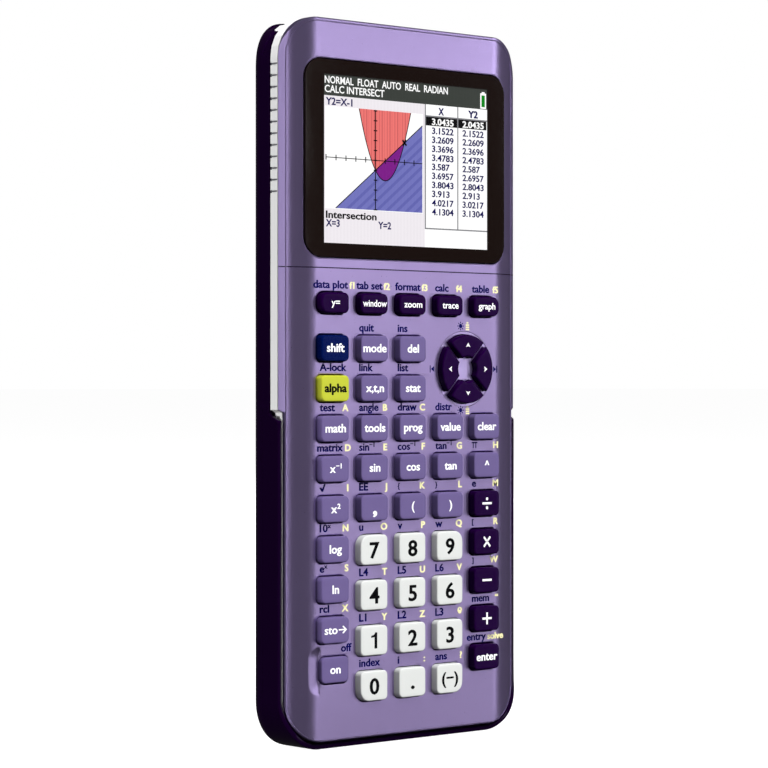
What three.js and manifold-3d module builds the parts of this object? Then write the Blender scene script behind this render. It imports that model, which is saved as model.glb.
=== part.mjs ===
// Graphing calculator with a slide case: millimetres, +Z up, keys facing -Y.
// The calculator stands on the closed bottom end of its case.
import * as THREE from 'three';
import { mergeVertices } from 'three/addons/utils/BufferGeometryUtils.js';
import Module from 'manifold-3d';

const wasm = await Module();
wasm.setup();

// ---- driving dimensions -------------------------------------------------
const GAP = 0.3;                 // clearance between neighbouring pieces

// Slide case
const CASE_HALF = 41.7;          // half of the outer width
const CASE_TOP = 187.2;          // height of the open top end
const CASE_BACK = 17.0;          // outer back face
const CASE_WALL = 1.5;
const CASE_FLOOR = 1.7;          // thickness of the closed bottom end
const CASE_CORNER = 12.6;        // corner radius seen from the front
const CASE_FILLET = 7.75;        // rounding between the back and the sides
const TALL_WALL_TOP = 85.4;      // the side walls are taller below this height
const TALL_WALL_FRONT = 3.0;
const LOW_WALL_FRONT = 6.6;

// Calculator housing
const BODY_BOTTOM = 2.0;
const BODY_TOP = 187.4;
const BAND_HALF = 41.4;          // half width of the grip band, above the tall walls
const NARROW_HALF = 39.9;        // half width between the tall walls
const CORE_HALF = 36.5;          // half width of the part that lies inside the case
const BODY_CORNER = 10.6;
const COVER_BACK = 3.2;          // parting plane of the front cover
const BAND_BACK = 6.3;
const BODY_BACK = 15.0;
const PLATE = 1.8;               // thickness of the key plate
const SEAM_HEIGHT = 123.4;       // groove across the front under the lens

const RAIL = { front: 4.7, back: 5.5, bottom: 15, top: 80 };   // rails inside the tall walls

// Display
const LENS = { width: 70.0, height: 50.7, corner: 5.0, z: 151.5, front: 0.0, back: 0.9 };
const SCREEN = { width: 57.6, height: 43.2, z: 151.4 };

// Keys
const COLUMN_PITCH = 13.33;
const ROW_PITCH = 10.31;
const ON_ROW = 20.3;
const DIGIT_PITCH = 11.75;
const ZERO_ROW = 15.4;
const FUNCTION_ROW = 114.4;
const KEY_FRONT = -2.0;          // most keys; the others give their own
const DIGIT_FRONT = -1.8;
const ON_FRONT = -0.7;
const ON_SHIFT = 1.0;            // the on key stands closer to the middle, beside its scoop
const KEY_FLANGE = { front: PLATE + GAP, back: 3.0, lip: 0.9 };
const SCOOP = { valley: -30.6, radius: 3.1, depth: 0.9, straight: 6.1 };
const PAD = { x: 20.0, z: 97.6, inner: 3.4, outer: 9.2, gap: 1.1, recess: 0.4 };

// Inner layers
const MAT = { front: 4.9, back: 5.9 };
const BOARD = { front: 6.2, back: 7.4, half: 33.6 };
const SOCKET = { z: 167.8 };       // charging socket, on the right-hand side
const DOOR = { half: 24.0, bottom: 100.0, top: 140.0, front: 13.6 };

// ---- solid helpers ------------------------------------------------------
function solid(geometry) {
  geometry.deleteAttribute('normal');
  geometry.deleteAttribute('uv');
  const merged = mergeVertices(geometry, 1e-4);
  return new wasm.Manifold(new wasm.Mesh({
    numProp: 3,
    vertProperties: new Float32Array(merged.attributes.position.array),
    triVerts: new Uint32Array(merged.index.array),
  }));
}

function colour(hex, roughness, metalness = 0) {
  return new THREE.MeshStandardMaterial({ color: hex, roughness, metalness });
}

function piece(name, body, material) {
  const mesh = body.getMesh();
  const geometry = new THREE.BufferGeometry();
  geometry.setAttribute('position', new THREE.BufferAttribute(new Float32Array(mesh.vertProperties), 3));
  geometry.setIndex(new THREE.BufferAttribute(new Uint32Array(mesh.triVerts), 1));
  geometry.computeVertexNormals();
  const node = new THREE.Mesh(geometry, material);
  node.name = name;
  return node;
}

// Solid with a front-view outline (x, z), between two depths.
function plate(outline, front, back, segments = 1, bevel = 0) {
  const geometry = new THREE.ExtrudeGeometry(outline, {
    depth: back - front - 2 * bevel,
    curveSegments: segments,
    bevelEnabled: bevel > 0,
    bevelThickness: bevel,
    bevelSize: bevel,
    bevelOffset: -bevel,
    bevelSegments: 1,
  });
  geometry.rotateX(Math.PI / 2);
  geometry.translate(0, back - bevel, 0);
  return solid(geometry);
}

// Solid with a cross-section (x, y), between two heights.
function column(section, bottom, top, segments = 3) {
  const options = { depth: top - bottom, bevelEnabled: false, curveSegments: segments };
  const geometry = new THREE.ExtrudeGeometry(section, options);
  geometry.translate(0, 0, bottom);
  return solid(geometry);
}

// Solid with a side-view profile (y, z), across the whole width.
function crossbar(profile, half, segments = 2) {
  const options = { depth: 2 * half, bevelEnabled: false, curveSegments: segments };
  const geometry = new THREE.ExtrudeGeometry(profile, options);
  geometry.rotateX(Math.PI / 2);
  geometry.rotateZ(Math.PI / 2);
  geometry.translate(-half, 0, 0);
  return solid(geometry);
}

function block(x0, x1, y0, y1, z0, z1) {
  const geometry = new THREE.BoxGeometry(x1 - x0, y1 - y0, z1 - z0);
  geometry.translate((x0 + x1) / 2, (y0 + y1) / 2, (z0 + z1) / 2);
  return solid(geometry);
}

// Round bar along the depth direction.
function bar(x, z, radius, front, back, sides = 12) {
  const geometry = new THREE.CylinderGeometry(radius, radius, back - front, sides);
  geometry.translate(x, (front + back) / 2, z);
  return solid(geometry);
}

function union(bodies) {
  return bodies.reduce((total, body) => total.add(body));
}

// Rectangle with its own radius at each corner.
function rounded(x0, x1, z0, z1, radii) {
  const r = typeof radii === 'number' ? { a: radii, b: radii, c: radii, d: radii } : radii;
  const shape = new THREE.Shape();
  shape.moveTo(x0 + r.a, z0);
  shape.lineTo(x1 - r.b, z0);
  shape.absarc(x1 - r.b, z0 + r.b, r.b, -Math.PI / 2, 0);
  shape.lineTo(x1, z1 - r.c);
  shape.absarc(x1 - r.c, z1 - r.c, r.c, 0, Math.PI / 2);
  shape.lineTo(x0 + r.d, z1);
  shape.absarc(x0 + r.d, z1 - r.d, r.d, Math.PI / 2, Math.PI);
  shape.lineTo(x0, z0 + r.a);
  shape.absarc(x0 + r.a, z0 + r.a, r.a, Math.PI, Math.PI * 1.5);
  return shape;
}

function centred(width, height, x, z, radii) {
  return rounded(x - width / 2, x + width / 2, z - height / 2, z + height / 2, radii);
}

// Closed shape from the points of its right half, mirrored to the left.
function mirrored(rightHalf) {
  const left = rightHalf.map(([x, y]) => [-x, y]).reverse();
  return new THREE.Shape([...rightHalf, ...left].map(([x, y]) => new THREE.Vector2(x, y)));
}

// ---- slide case ---------------------------------------------------------
// Tray section: flat back, rounded into the two sides, open at the front.
function traySection(half, back, fillet) {
  const shape = new THREE.Shape();
  shape.moveTo(-half, -1);
  shape.lineTo(half, -1);
  shape.lineTo(half, back - fillet);
  shape.absarc(half - fillet, back - fillet, fillet, 0, Math.PI / 2);
  shape.lineTo(fillet - half, back);
  shape.absarc(fillet - half, back - fillet, fillet, Math.PI / 2, Math.PI);
  return shape;
}

// Side view: low walls above, tall walls below, rounded bottom back edge.
function caseProfile() {
  const edge = 4.0;
  const shape = new THREE.Shape();
  shape.moveTo(1.2, 0);
  shape.lineTo(CASE_BACK - edge, 0);
  shape.absarc(CASE_BACK - edge, edge, edge, -Math.PI / 2, 0);
  shape.lineTo(CASE_BACK, CASE_TOP - 1);
  shape.lineTo(CASE_BACK - 1, CASE_TOP);
  shape.lineTo(LOW_WALL_FRONT, CASE_TOP);
  shape.lineTo(LOW_WALL_FRONT, TALL_WALL_TOP + 0.8);
  shape.lineTo(LOW_WALL_FRONT - 1.2, TALL_WALL_TOP);
  shape.lineTo(TALL_WALL_FRONT + 1.0, TALL_WALL_TOP - 0.8);
  shape.lineTo(TALL_WALL_FRONT, TALL_WALL_TOP - 3);
  shape.lineTo(TALL_WALL_FRONT, 14);
  shape.lineTo(1.2, 3);
  return shape;
}

function slideCase() {
  const outer = column(traySection(CASE_HALF, CASE_BACK, CASE_FILLET), 0, CASE_TOP)
    .intersect(plate(rounded(-CASE_HALF, CASE_HALF, 0, CASE_TOP, CASE_CORNER), 0, CASE_BACK, 3))
    .intersect(crossbar(caseProfile(), CASE_HALF));
  const half = CASE_HALF - CASE_WALL;
  const back = CASE_BACK - CASE_WALL;
  const follow = rounded(-half, half, CASE_FLOOR, CASE_TOP - CASE_WALL, CASE_CORNER - CASE_WALL);
  const cavity = column(traySection(half, back, CASE_FILLET - CASE_WALL), 0, CASE_TOP)
    .intersect(plate(follow, -1, back, 3));
  const exit = CORE_HALF + GAP;
  const throat = block(-exit, exit, -1, BODY_BACK + GAP, 20, CASE_TOP + 1);
  return outer.subtract(cavity).subtract(throat).add(guideRail(1)).add(guideRail(-1));
}

// Rail inside a tall wall; it runs in a groove in the calculator's side.
function guideRail(side) {
  const inner = NARROW_HALF - 0.8;
  const outer = CASE_HALF - CASE_WALL + 0.5;
  const [x0, x1] = side > 0 ? [inner, outer] : [-outer, -inner];
  return block(x0, x1, RAIL.front, RAIL.back, RAIL.bottom, RAIL.top);
}

// ---- housing ------------------------------------------------------------
// Front outline: narrow between the tall walls of the case, wider above them.
function bodyOutline(upper, lower) {
  const step = TALL_WALL_TOP + 0.9;
  const r = BODY_CORNER;
  const shape = new THREE.Shape();
  shape.moveTo(r - lower, BODY_BOTTOM);
  shape.lineTo(lower - r, BODY_BOTTOM);
  shape.absarc(lower - r, BODY_BOTTOM + r, r, -Math.PI / 2, 0);
  shape.lineTo(lower, step);
  shape.lineTo(upper, step + (upper - lower) / 2);
  shape.lineTo(upper, BODY_TOP - r);
  shape.absarc(upper - r, BODY_TOP - r, r, 0, Math.PI / 2);
  shape.lineTo(r - upper, BODY_TOP);
  shape.absarc(r - upper, BODY_TOP - r, r, Math.PI / 2, Math.PI);
  shape.lineTo(-upper, step + (upper - lower) / 2);
  shape.lineTo(-lower, step);
  shape.lineTo(-lower, BODY_BOTTOM + r);
  shape.absarc(r - lower, BODY_BOTTOM + r, r, Math.PI, Math.PI * 1.5);
  return shape;
}

// Cross-section of the front cover: flat middle, sloped long sides.
function coverSection(shift) {
  const back = COVER_BACK + shift;
  return mirrored([
    [30.5, shift],
    [33.0, 0.27 + shift],
    [34.8, 0.7 + shift],
    [37.4, 1.45 + shift],
    [NARROW_HALF, 2.45 + shift],
    [41.0, 2.8 + shift],
    [BAND_HALF, back],
  ].reverse());
}

function frontCover() {
  let body = column(coverSection(0), BODY_BOTTOM, BODY_TOP)
    .intersect(plate(bodyOutline(BAND_HALF, NARROW_HALF), 0, COVER_BACK, 3));
  const cuts = [
    block(-33, 33, PLATE, 4, 4.5, SEAM_HEIGHT - 1.5),
    block(-33, 33, 2.4, 4, SEAM_HEIGHT + 1.2, 179),
    plate(centred(LENS.width + 0.5, LENS.height + 0.5, 0, LENS.z, LENS.corner), -1, LENS.back + GAP, 2),
    block(-30, 30, 0, 3, SCREEN.z - 22.8, SCREEN.z + 22.8),
    seamGroove(),
    onKeyScoop(),
    bar(PAD.x, PAD.z, PAD.outer + 0.9, -1, PAD.recess, 32),
    ...KEYS.map((key) => keyHole(key)),
    ...ARROWS.map((arrow) => plate(arrowSector(arrow.angle, 0.25), -1, 3, 3)),
  ];
  for (const cut of cuts) {
    body = body.subtract(cut);
  }
  return body;
}

function seamGroove() {
  const depth = 0.35;
  return block(-45, 45, -1, COVER_BACK, SEAM_HEIGHT - 0.3, SEAM_HEIGHT + 0.3)
    .subtract(column(coverSection(depth), BODY_BOTTOM, BODY_TOP));
}

// Finger scoop beside the on key: a trough that deepens towards the key, with conical ends.
function onKeyScoop() {
  const { valley, radius, depth, straight } = SCOOP;
  const steps = 6;
  const points = [];
  for (const end of [-1, 1]) {
    const z = ON_ROW + end * straight / 2;
    points.push([valley, depth, z], [valley + 0.5, 0, z], [valley + 0.5, -1, z]);
    for (let i = 0; i <= steps; i++) {
      const turn = Math.PI / 2 * i / steps;
      const x = valley - radius * Math.cos(turn);
      const y = i === 0 ? 0.35 : 0;
      points.push([x, y, z + end * radius * Math.sin(turn)], [x, -1, z + end * radius * Math.sin(turn)]);
    }
  }
  return wasm.Manifold.hull(points);
}

function rearCover() {
  const coreOutline = rounded(-CORE_HALF, CORE_HALF, BODY_BOTTOM, CASE_TOP, BODY_CORNER - 2);
  const front = COVER_BACK + GAP;
  let body = plate(coreOutline, front, BODY_BACK, 2)
    .intersect(column(traySection(CORE_HALF, BODY_BACK, 4), 0, BODY_TOP))
    .add(plate(bodyOutline(BAND_HALF, NARROW_HALF), front, BAND_BACK, 3));
  const wallHalf = CORE_HALF - 2.2;
  body = body.subtract(plate(rounded(-wallHalf, wallHalf, 4.2, 182.8, 5), 2, BODY_BACK - 1.6));
  body = body.add(batteryWell());
  const cuts = [
    block(-DOOR.half, DOOR.half, DOOR.front - GAP, 16, DOOR.bottom, DOOR.top),
    block(-DOOR.half + 2, DOOR.half - 2, 5, 16, DOOR.bottom + 2, DOOR.top - 6),
    bar(0, DOOR.top - 3, 1.0, 10, 16, 8),
    block(32, 45, 2, BAND_BACK, SOCKET.z - 3.8, SOCKET.z + 3.8),
    ...[-1, 1].map((side) => railGroove(side)),
    ...gripGrooves(),
    ...housingScrewSeats(),
  ];
  for (const cut of cuts) {
    body = body.subtract(cut);
  }
  return body;
}

// Walls round the battery, and the ledge the battery door rests on.
function batteryWell() {
  return block(-DOOR.half - 1.5, DOOR.half + 1.5, 9.0, 14, DOOR.bottom - 1.5, DOOR.top + 1.5);
}

function railGroove(side) {
  const [x0, x1] = side > 0 ? [NARROW_HALF - 1.1, 41] : [-41, 1.1 - NARROW_HALF];
  return block(x0, x1, 4.4, 5.8, 0, TALL_WALL_TOP);
}

// Short grooves across the grip band, twelve on each side.
function gripGrooves() {
  const grooves = [];
  for (let i = 0; i < 12; i += 1) {
    const z = 175.0 - 2.95 * i;
    grooves.push(block(BAND_HALF - 0.45, 43, 4.2, 7, z - 0.35, z + 0.35));
    grooves.push(block(-43, 0.45 - BAND_HALF, 4.2, 7, z - 0.35, z + 0.35));
  }
  return grooves;
}

function housingScrewSeats() {
  const seats = [];
  for (const x of [-27, 27]) {
    for (const z of [15, 90, 172]) {
      seats.push(bar(x, z, 2.4, BODY_BACK - 0.9, 16, 10));
    }
  }
  return seats;
}

// ---- keys ---------------------------------------------------------------
const COLUMNS = [-2, -1, 0, 1, 2].map((i) => i * COLUMN_PITCH);

function makeKey(name, x, z, kind, radii) {
  return { name, x, z, kind, radii: radii ?? KINDS[kind].corner };
}

const KINDS = {
  function: { width: 9.3, height: 5.3, corner: 1.9, front: KEY_FRONT, hex: 0x2a0a48 },
  plain: { width: 9.2, height: 6.7, corner: 1.3, front: KEY_FRONT, hex: 0x7d6ca5 },
  on: { width: 9.0, height: 6.7, corner: 1.3, front: ON_FRONT, hex: 0x7d6ca5 },
  shift: { width: 9.2, height: 6.7, corner: 1.3, front: KEY_FRONT, hex: 0x00205f },
  letter: { width: 9.2, height: 6.7, corner: 1.3, front: KEY_FRONT, hex: 0xcdd450 },
  dark: { width: 9.2, height: 6.7, corner: 1.3, front: KEY_FRONT, hex: 0x2a0a48 },
  digit: { width: 9.2, height: 7.7, corner: 1.3, front: DIGIT_FRONT, hex: 0xe4e6e4 },
};

function functionKeys() {
  const names = ['key_f1', 'key_f2', 'key_f3', 'key_f4', 'key_f5'];
  return names.map((name, i) => makeKey(name, COLUMNS[i], FUNCTION_ROW, 'function'));
}

// Rows of the main grid, from the top; null marks a place without a grid key.
const GRID = [
  ['key_shift', 'key_mode', 'key_delete', null, null],
  ['key_alpha', 'key_variable', 'key_list', null, null],
  ['key_math', 'key_tools', 'key_program', 'key_values', 'key_clear'],
  ['key_reciprocal', 'key_sine', 'key_cosine', 'key_tangent', 'key_power'],
  ['key_square', 'key_comma', 'key_open_bracket', 'key_close_bracket', 'key_divide'],
  ['key_log', null, null, null, 'key_multiply'],
  ['key_natural_log', null, null, null, 'key_subtract'],
  ['key_store', null, null, null, 'key_add'],
  ['key_on', null, null, null, 'key_enter'],
];

function gridKeys() {
  const keys = [];
  GRID.forEach((row, i) => row.forEach((name, column) => {
    if (name) {
      const x = COLUMNS[column] + (name === 'key_on' ? ON_SHIFT : 0);
      const z = ON_ROW + ROW_PITCH * (GRID.length - 1 - i);
      keys.push(makeKey(name, x, z, gridKind(name, i, column)));
    }
  }));
  return keys;
}

function gridKind(name, row, column) {
  if (name === 'key_on') return 'on';
  if (name === 'key_shift') return 'shift';
  if (name === 'key_alpha') return 'letter';
  return column === 4 && row > 3 ? 'dark' : 'plain';
}

// Number keys; the four corner keys of the block have one larger radius.
function digitKeys() {
  const rows = [['7', '8', '9'], ['4', '5', '6'], ['1', '2', '3'], ['0', 'point', 'negative']];
  const wide = { 7: 'd', 9: 'c', 0: 'a', negative: 'b' };
  return rows.flatMap((row, i) => row.map((label, column) => {
    const small = KINDS.digit.corner;
    const radii = { a: small, b: small, c: small, d: small };
    if (wide[label]) {
      radii[wide[label]] = 2.8;
    }
    return makeKey(`key_${label}`, COLUMNS[column + 1], ZERO_ROW + DIGIT_PITCH * (3 - i), 'digit', radii);
  }));
}

const KEYS = [...functionKeys(), ...gridKeys(), ...digitKeys()];

function keyHole(key) {
  const { width, height } = KINDS[key.kind];
  return plate(centred(width + 2 * GAP, height + 2 * GAP, key.x, key.z, key.radii), -1, 3);
}

// Key cap with a retaining flange behind the key plate.
function keyBody(key) {
  const { width, height, front: top } = KINDS[key.kind];
  const lip = 2 * KEY_FLANGE.lip;
  const cap = plate(centred(width, height, key.x, key.z, key.radii), top, KEY_FLANGE.back - 0.2, 1, 0.45);
  const halfWidth = (width + lip) / 2;
  const halfHeight = (height + lip) / 2;
  const { front, back } = KEY_FLANGE;
  return cap.add(block(key.x - halfWidth, key.x + halfWidth, front, back,
    key.z - halfHeight, key.z + halfHeight));
}

// ---- arrow pad ----------------------------------------------------------
const ARROWS = [
  { name: 'key_arrow_right', angle: 0 },
  { name: 'key_arrow_up', angle: Math.PI / 2 },
  { name: 'key_arrow_left', angle: Math.PI },
  { name: 'key_arrow_down', angle: -Math.PI / 2 },
];

// Quarter of a ring, with parallel-sided gaps to its neighbours.
function arrowSector(angle, grow, outerGrow = grow) {
  const inner = PAD.inner - grow;
  const outer = PAD.outer + outerGrow;
  const margin = PAD.gap / 2 - grow;
  const innerSweep = Math.PI / 4 - Math.asin(margin / inner);
  const outerSweep = Math.PI / 4 - Math.asin(margin / outer);
  const shape = new THREE.Shape();
  shape.absarc(PAD.x, PAD.z, outer, angle - outerSweep, angle + outerSweep, false);
  shape.absarc(PAD.x, PAD.z, inner, angle + innerSweep, angle - innerSweep, true);
  return shape;
}

function arrowKey(arrow) {
  const { front, back } = KEY_FLANGE;
  return plate(arrowSector(arrow.angle, 0), KEY_FRONT + 0.3, back, 3)
    .add(plate(arrowSector(arrow.angle, 0, KEY_FLANGE.lip), front, back, 3));
}

// ---- display and inner layers -------------------------------------------
function displayLens() {
  const outline = centred(LENS.width, LENS.height, 0, LENS.z, LENS.corner);
  return plate(outline, LENS.front, LENS.back, 2, 0.25);
}

function displayModule() {
  const { width, height, z } = SCREEN;
  const cell = block(-width / 2 - 0.8, width / 2 + 0.8, LENS.back + GAP, 4, z - height / 2 - 0.7, z + height / 2 + 0.7);
  const frame = block(-31.8, 31.8, 2.7, BOARD.front - GAP, z - 24.8, z + 24.8);
  return cell.add(frame);
}

// Rubber mat with one low pad under every key.
function keypadMat() {
  let mat = plate(centred(65, 114.5, 0, 62.6, 2), MAT.front, MAT.back);
  for (const { x, z } of [...KEYS, ...ARROWS.map(arrowCentre)]) {
    mat = mat.add(bar(x, z, 2.2, MAT.front - 0.4, MAT.front + 0.2, 6));
  }
  return mat;
}

function arrowCentre(arrow) {
  const radius = (PAD.inner + PAD.outer) / 2;
  return { x: PAD.x + radius * Math.cos(arrow.angle), z: PAD.z + radius * Math.sin(arrow.angle) };
}

// Circuit board with its main parts and the charging socket soldered on.
function mainBoard() {
  const { front, back, half } = BOARD;
  return union([
    plate(rounded(-half, half, 5.2, 181.8, 4), front, back),
    block(-8, 8, back - 0.2, back + 1.6, 70, 86),
    block(-24, -12, back - 0.2, back + 1.2, 66, 84),
    block(14, 24, back - 0.2, back + 1.2, 56, 62),
    block(-28, -16, back - 0.2, back + 2.0, 148, 156),
    block(4, 9, back - 0.2, back + 1.4, 150, 158),
    chargingSocket(),
  ]);
}

// Open-ended metal shell in the gap of the grip band, with a foot on the board.
function chargingSocket() {
  const { z } = SOCKET;
  const back = BOARD.front - 0.2;
  const shell = block(32.2, BAND_HALF - 0.5, 3.8, back, z - 3.5, z + 3.5);
  const foot = block(32.2, 33.4, back - 0.4, BOARD.front + 0.2, z - 3.5, z + 3.5);
  return shell.subtract(block(35, 42, 4.2, back - 0.4, z - 3.1, z + 3.1)).add(foot);
}

function batteryPack() {
  const outline = rounded(-DOOR.half + 2.6, DOOR.half - 2.6, DOOR.bottom + 2.6, DOOR.top - 6.6, 1.5);
  return plate(outline, BOARD.back + 0.6, DOOR.front - 0.6, 1, 0.5);
}

function batteryDoor() {
  const { half, bottom, top, front } = DOOR;
  const panel = block(-half + GAP, half - GAP, front, BODY_BACK, bottom + GAP, top - GAP);
  const screwHole = bar(0, top - 3, 1.35, front - 1, BODY_BACK + 1, 12);
  const headSeat = bar(0, top - 3, 2.4, BODY_BACK - 0.8, BODY_BACK + 1, 12);
  return panel.subtract(screwHole).subtract(headSeat);
}

function batteryDoorScrew() {
  const z = DOOR.top - 3;
  const head = bar(0, z, 2.0, BODY_BACK - 0.5, BODY_BACK - 0.05, 16);
  const shank = bar(0, z, 0.7, 10.6, BODY_BACK - 0.3, 12);
  const slots = union([
    block(-1.2, 1.2, BODY_BACK - 0.3, BODY_BACK + 1, z - 0.2, z + 0.2),
    block(-0.2, 0.2, BODY_BACK - 0.3, BODY_BACK + 1, z - 1.2, z + 1.2),
  ]);
  return head.add(shank).subtract(slots);
}

// ---- assembly -----------------------------------------------------------
const materials = {
  cover: () => colour(0xa491c8, 0.45),
  rear: () => colour(0xe2e2e2, 0.55),
  caseShell: () => colour(0x180a22, 0.2),
  lens: () => colour(0x16100e, 0.08),
  display: () => colour(0x30343c, 0.4),
  board: () => colour(0x1e5a38, 0.5),
  mat: () => colour(0x9a9a9e, 0.85),
  battery: () => colour(0x3a6ea8, 0.5),
  steel: () => colour(0x8c9096, 0.35, 0.9),
};

const group = new THREE.Group();
group.name = 'graphing_calculator';
group.add(piece('slide_case', slideCase(), materials.caseShell()));
group.add(piece('front_cover', frontCover(), materials.cover()));
group.add(piece('rear_cover', rearCover(), materials.rear()));
group.add(piece('display_lens', displayLens(), materials.lens()));
group.add(piece('display_module', displayModule(), materials.display()));
group.add(piece('keypad_mat', keypadMat(), materials.mat()));
group.add(piece('main_board', mainBoard(), materials.board()));
group.add(piece('battery_pack', batteryPack(), materials.battery()));
group.add(piece('battery_door', batteryDoor(), materials.rear()));
group.add(piece('battery_door_screw', batteryDoorScrew(), materials.steel()));
for (const key of KEYS) {
  group.add(piece(key.name, keyBody(key), colour(KINDS[key.kind].hex, 0.4)));
}
for (const arrow of ARROWS) {
  group.add(piece(arrow.name, arrowKey(arrow), colour(KINDS.dark.hex, 0.4)));
}
group.position.y = -(CASE_BACK + KEY_FRONT) / 2;

export default group;
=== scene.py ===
import math

import bmesh
import bpy
from mathutils import Matrix, Vector


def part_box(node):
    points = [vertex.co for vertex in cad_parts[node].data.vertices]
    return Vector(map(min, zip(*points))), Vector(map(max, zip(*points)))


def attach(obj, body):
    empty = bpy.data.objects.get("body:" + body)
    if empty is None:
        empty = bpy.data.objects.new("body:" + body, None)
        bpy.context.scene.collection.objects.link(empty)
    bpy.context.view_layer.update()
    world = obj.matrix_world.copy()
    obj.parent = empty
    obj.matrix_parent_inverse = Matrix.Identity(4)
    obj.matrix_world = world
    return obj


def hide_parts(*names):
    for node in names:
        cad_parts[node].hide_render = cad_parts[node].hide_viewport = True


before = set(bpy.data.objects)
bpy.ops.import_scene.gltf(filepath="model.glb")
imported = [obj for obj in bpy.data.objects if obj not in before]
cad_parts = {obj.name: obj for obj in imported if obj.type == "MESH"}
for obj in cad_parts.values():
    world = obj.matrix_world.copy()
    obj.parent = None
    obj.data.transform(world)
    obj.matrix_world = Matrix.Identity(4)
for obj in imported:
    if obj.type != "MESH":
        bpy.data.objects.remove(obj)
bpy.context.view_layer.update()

# Graphing calculator standing in its slide case. Shapes are worked out in millimetres, in the
# frame of the CAD model, and scaled to metres as each piece is made.
MM = 0.001


def corners(node):
    """Lowest and highest corner of a CAD node, in millimetres."""
    low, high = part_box(node)
    return Vector(low) / MM, Vector(high) / MM


COVER_LOW, COVER_HIGH = corners("front_cover")
REAR_LOW, REAR_HIGH = corners("rear_cover")
CASE_LOW, CASE_HIGH = corners("slide_case")
LENS_LOW, LENS_HIGH = corners("display_lens")
FRONT = COVER_LOW.y
COVER_DEPTH = COVER_HIGH.y - COVER_LOW.y
SEAM_Z = 123.4
KEY_LIP = 0.9


# ---- materials ----------------------------------------------------------
def plastic(name, colour, roughness, grain=0.0, metallic=0.0, coat=0.0, mottle=0.06, specular=0.5):
    """Moulded plastic: slight colour drift, fine grain in the gloss and, if asked, in the surface."""
    material = bpy.data.materials.new(name)
    material.use_nodes = True
    nodes = material.node_tree.nodes
    links = material.node_tree.links
    shader = nodes["Principled BSDF"]
    shader.inputs["Metallic"].default_value = metallic
    shader.inputs["Coat Weight"].default_value = coat
    shader.inputs["Coat Roughness"].default_value = 0.08
    shader.inputs["Specular IOR Level"].default_value = specular
    place = nodes.new("ShaderNodeTexCoord")
    drift = nodes.new("ShaderNodeTexNoise")
    drift.inputs["Scale"].default_value = 60.0
    drift.inputs["Detail"].default_value = 3.0
    links.new(place.outputs["Object"], drift.inputs["Vector"])
    ramp = nodes.new("ShaderNodeValToRGB")
    ramp.color_ramp.elements[0].color = (*[c * (1 - mottle) for c in colour], 1)
    ramp.color_ramp.elements[1].color = (*[min(1, c * (1 + mottle)) for c in colour], 1)
    links.new(drift.outputs["Fac"], ramp.inputs["Fac"])
    links.new(ramp.outputs["Color"], shader.inputs["Base Color"])
    fine = nodes.new("ShaderNodeTexNoise")
    fine.inputs["Scale"].default_value = 2600.0
    fine.inputs["Detail"].default_value = 2.0
    links.new(place.outputs["Object"], fine.inputs["Vector"])
    gloss = nodes.new("ShaderNodeMapRange")
    gloss.inputs["To Min"].default_value = max(0.02, roughness - 0.05)
    gloss.inputs["To Max"].default_value = roughness + 0.05
    links.new(fine.outputs["Fac"], gloss.inputs["Value"])
    links.new(gloss.outputs["Result"], shader.inputs["Roughness"])
    if grain:
        bump = nodes.new("ShaderNodeBump")
        bump.inputs["Strength"].default_value = grain
        bump.inputs["Distance"].default_value = 0.00003
        links.new(fine.outputs["Fac"], bump.inputs["Height"])
        links.new(bump.outputs["Normal"], shader.inputs["Normal"])
    return material


def lit(name, colour, strength=0.86):
    """Colour of the lit display, with a faint pixel grid, under glass."""
    material = plastic(name, [0.15 * c for c in colour], 0.12, mottle=0.01, specular=0.15)
    nodes = material.node_tree.nodes
    links = material.node_tree.links
    shader = nodes["Principled BSDF"]
    place = nodes.new("ShaderNodeTexCoord")
    grid = nodes.new("ShaderNodeTexWave")
    grid.bands_direction = "X"
    grid.inputs["Scale"].default_value = 1 / (20 * 0.18 * MM) * math.pi / 3.2
    links.new(place.outputs["Object"], grid.inputs["Vector"])
    ramp = nodes.new("ShaderNodeValToRGB")
    ramp.color_ramp.elements[0].color = (*[0.96 * c for c in colour], 1)
    ramp.color_ramp.elements[1].color = (*colour, 1)
    links.new(grid.outputs["Fac"], ramp.inputs["Fac"])
    links.new(ramp.outputs["Color"], shader.inputs["Emission Color"])
    shader.inputs["Emission Strength"].default_value = strength
    return material


def srgb(red, green, blue):
    """Linear colour from 8-bit display values."""
    return [((c / 255 + 0.055) / 1.055) ** 2.4 if c > 10 else c / 255 / 12.92 for c in (red, green, blue)]


LAVENDER = plastic("lavender_cover", srgb(168, 150, 202), 0.3, grain=0.08, metallic=0.92)
# Lighter copy of the cover's lavender for the arrow well: painted light that makes up for the shade of the arrow
# keys round it.
LAVENDER_WELL_PAINTED_LIGHT = plastic("lavender_well_painted_light", srgb(196, 178, 232), 0.34, grain=0.08, metallic=0.92)
LAVENDER_KEY = plastic("lavender_key", srgb(98, 85, 131), 0.38, grain=0.1, specular=0.2)
DARK_KEY = plastic("dark_purple_key", srgb(25, 0, 46), 0.25, grain=0.05, specular=0.05)
BLUE_KEY = plastic("blue_key", srgb(0, 14, 68), 0.28, grain=0.05, specular=0.05)
YELLOW_KEY = plastic("yellow_key", srgb(176, 182, 50), 0.4, grain=0.1, specular=0.2)
WHITE_KEY = plastic("white_key", srgb(205, 207, 205), 0.4, grain=0.1, mottle=0.02, specular=0.2)
WHITE_SHELL = plastic("white_shell", srgb(226, 226, 226), 0.5, grain=0.3, mottle=0.02)
CASE_GLOSS = plastic("case_gloss", srgb(16, 1, 28), 0.1, specular=0.07)
LENS_BLACK = plastic("lens_black", srgb(20, 12, 10), 0.06, specular=0.35)
WHITE_INK = plastic("white_ink", srgb(250, 250, 252), 0.5, mottle=0.01)
BLACK_INK = plastic("black_ink", srgb(8, 8, 10), 0.5, specular=0.05)
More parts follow.
